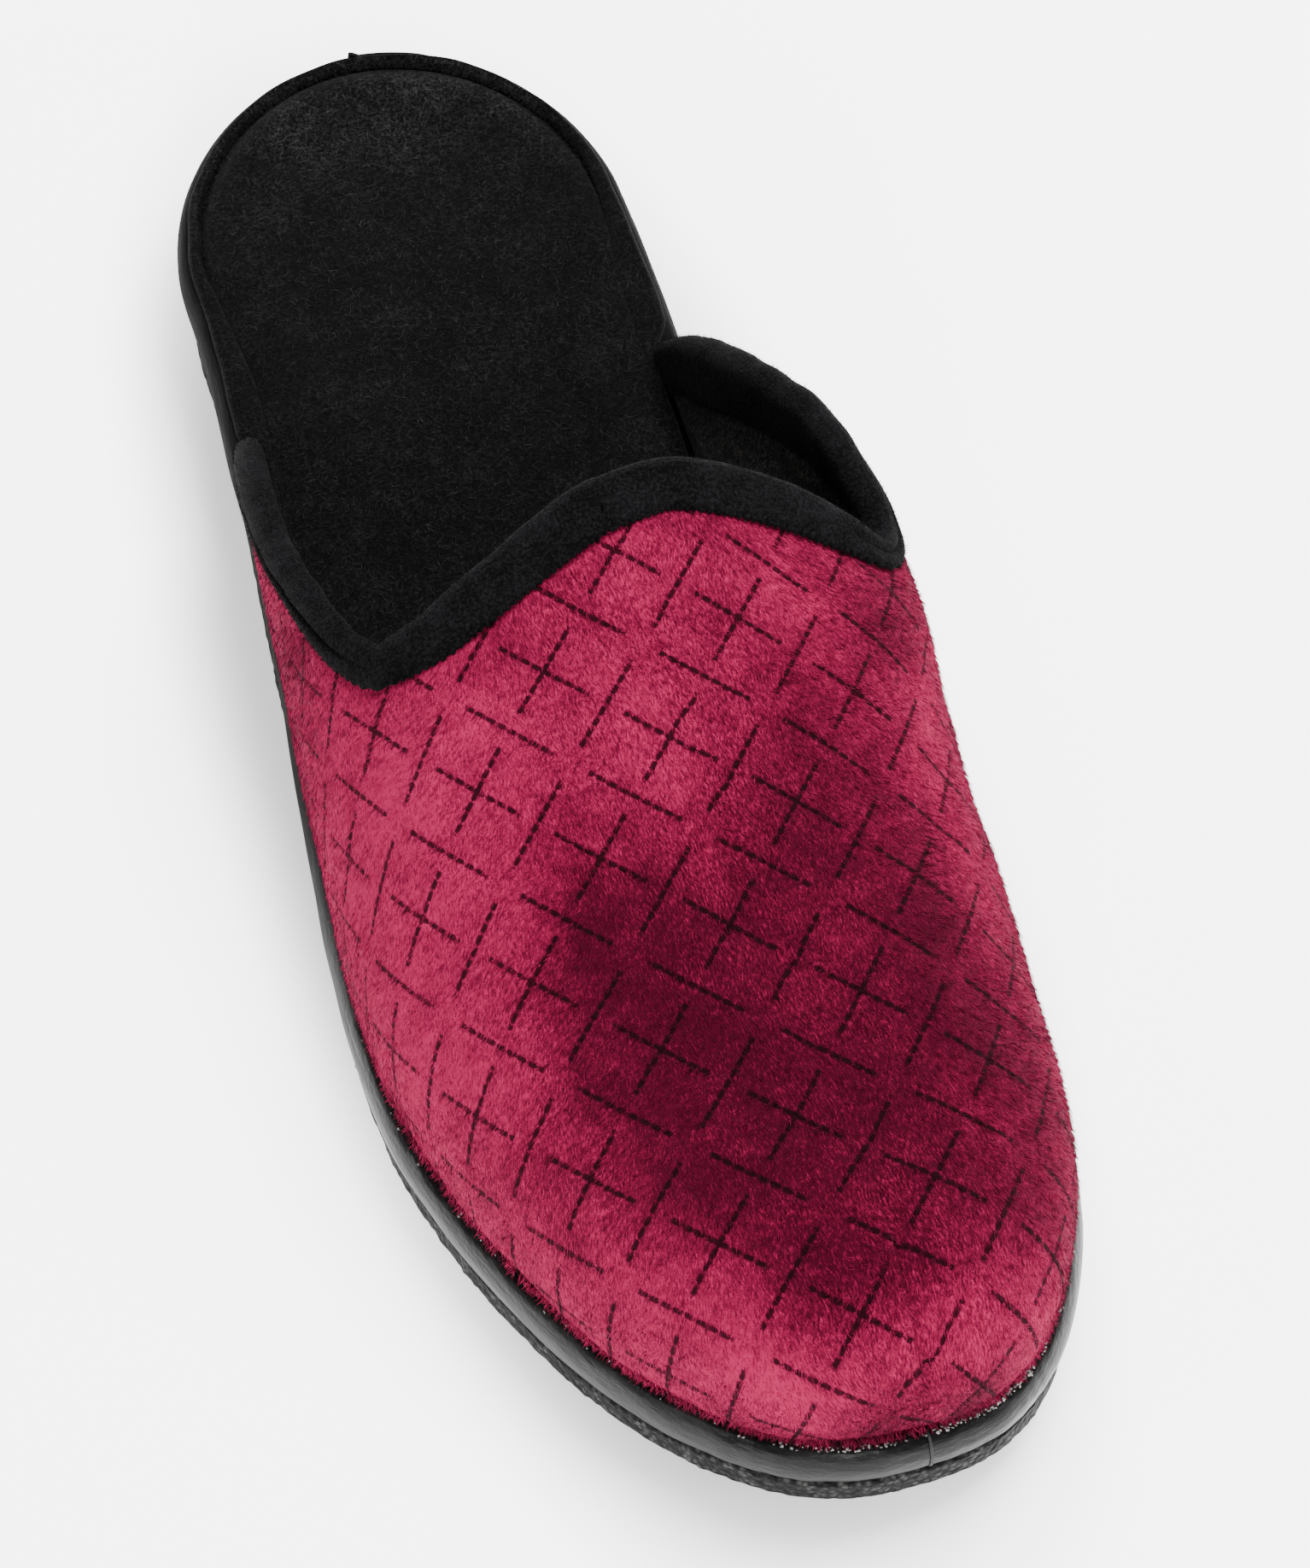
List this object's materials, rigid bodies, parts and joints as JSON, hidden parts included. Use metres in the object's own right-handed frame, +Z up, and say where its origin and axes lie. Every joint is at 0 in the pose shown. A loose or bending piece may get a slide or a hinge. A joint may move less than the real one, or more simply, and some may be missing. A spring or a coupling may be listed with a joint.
{
  "type": "scuff slipper",
  "caption": "Right-foot scuff slipper: check-printed velour vamp with side wings and plush binding over a wedge sole wrapped in a satin band; warms and covers the forefoot indoors.",
  "frame": {"origin": "On the floor, under the middle of the shoe's bounding box", "axes": "+Z up, +Y from heel to toe, +X towards the outer (little-toe) side of the right foot"},
  "size_m": [0.1052, 0.283, 0.0707],
  "materials": {
    "outsole_rubber": "matt black, pebbled side and cross grooves",
    "satin_band": "smooth satin black wrap, coated",
    "insole_felt": "black felt with fine light fibres",
    "vamp_velour": "short-pile burgundy velour with a black broken check print",
    "binding_plush": "black plush, folded over the edge"
  },
  "bodies": {
    "root": {"outsole": "outsole_rubber", "midsole": "satin_band", "insole": "insole_felt", "upper": "vamp_velour", "collar_binding": "binding_plush"}
  },
  "joints": []
}
